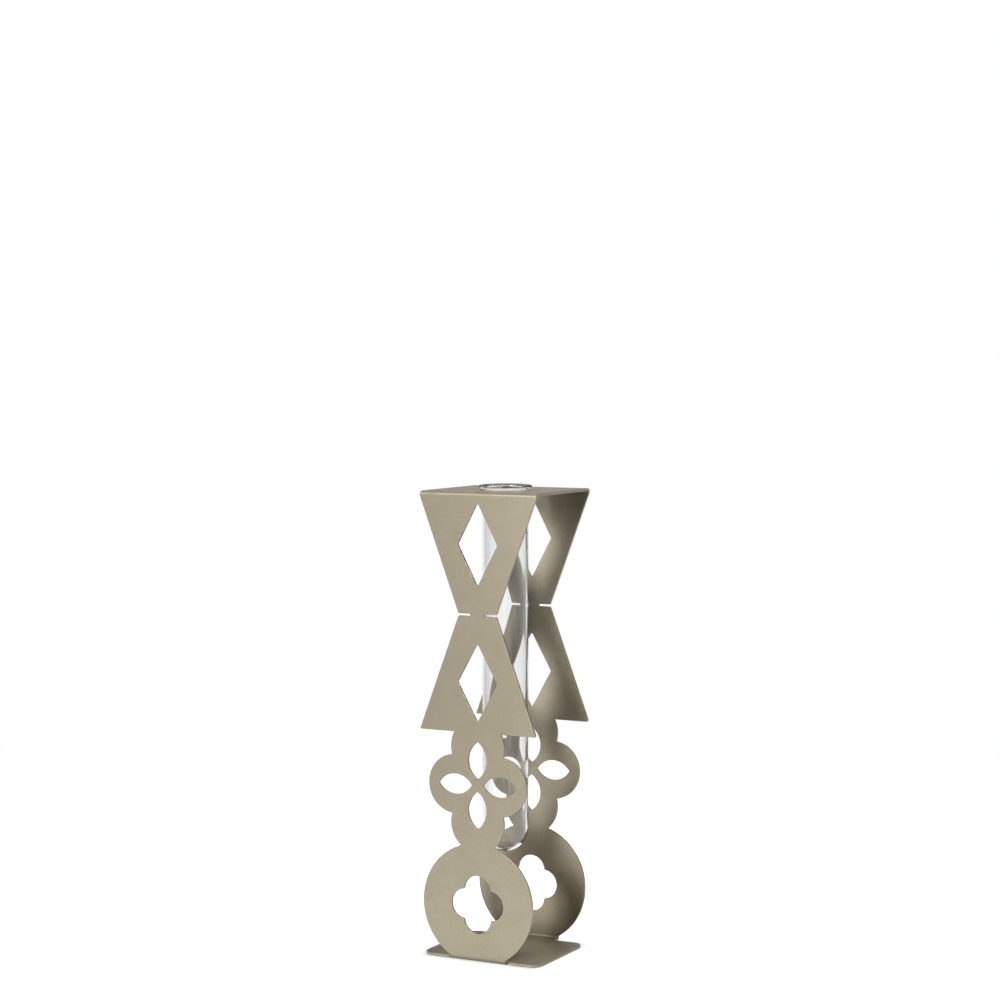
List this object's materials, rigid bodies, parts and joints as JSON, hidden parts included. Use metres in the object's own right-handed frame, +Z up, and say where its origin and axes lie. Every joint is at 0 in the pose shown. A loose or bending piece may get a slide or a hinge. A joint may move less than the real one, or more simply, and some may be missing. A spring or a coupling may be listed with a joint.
{
  "type": "bud vase with glass tube",
  "caption": "Tall folded sheet-metal stand with diamond, petal and quatrefoil cut-outs that holds a lift-out round-bottomed glass tube for flower stems.",
  "frame": {"origin": "centre of the stand's underside, where it rests on the table", "axes": "+Z up along the glass tube's axis, +X across the panels to the right, -Y out of the front panel, towards the viewer"},
  "size_m": [0.07, 0.065, 0.2545],
  "materials": {
    "powder_coated_sheet": "fine-textured semi-matt powder coat, warm grey",
    "clear_glass": "clear, polished, thin-walled"
  },
  "bodies": {
    "stand": {"folded_stand": "powder_coated_sheet"},
    "tube": {"glass_tube": "clear_glass"}
  },
  "joints": [
    {"name": "tube_lift", "type": "slide", "parent": "stand", "child": "tube", "axis": [0, 0, 1], "range_m": [0, 0.215]}
  ]
}
